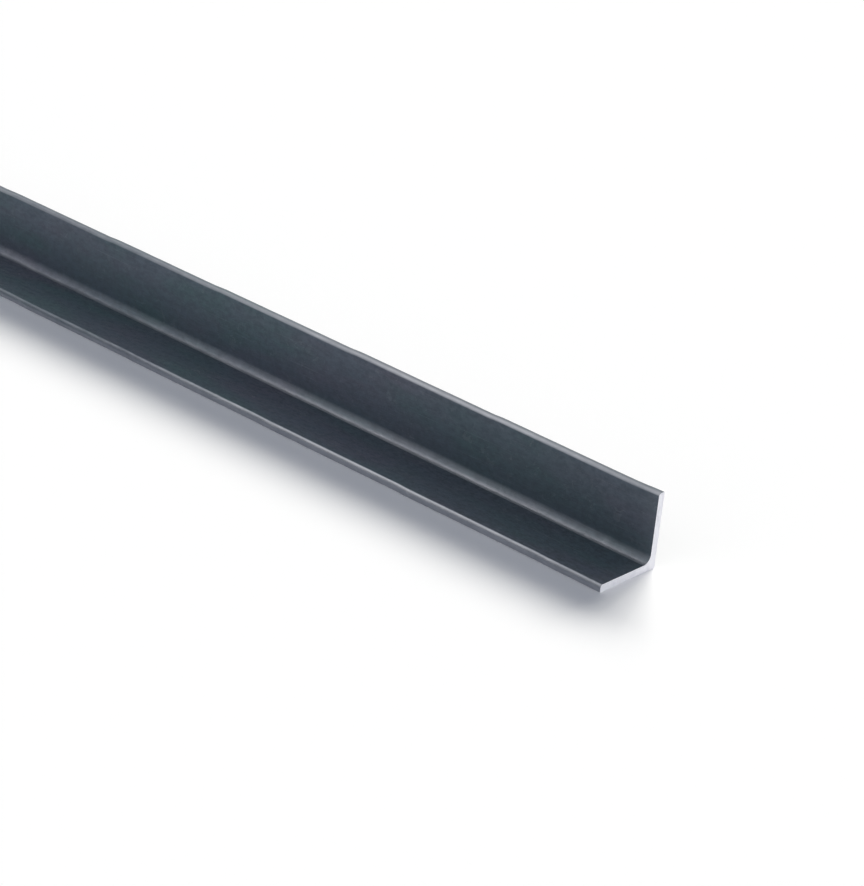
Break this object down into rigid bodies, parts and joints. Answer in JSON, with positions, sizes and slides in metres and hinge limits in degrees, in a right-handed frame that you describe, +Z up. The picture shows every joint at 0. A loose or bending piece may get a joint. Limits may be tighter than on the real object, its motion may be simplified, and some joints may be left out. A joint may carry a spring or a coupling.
{
  "type": "steel angle section",
  "caption": "Straight bar of hot-rolled equal-leg steel angle: two legs square to each other, a filleted root, rounded toes and square sawn ends.",
  "frame": {"origin": "on the floor at mid-length, under the middle of the flat leg's width", "axes": "+X along the bar towards the sawn end that the picture shows, +Y across the bar towards the upright leg's outer face, +Z up along the upright leg"},
  "size_m": [6, 0.05, 0.05],
  "materials": {
    "rolled_steel": "blue-grey mill scale as rolled, low sheen, with bright bare steel on the sawn end faces"
  },
  "bodies": {
    "root": {"angle_bar": "rolled_steel"}
  },
  "joints": []
}
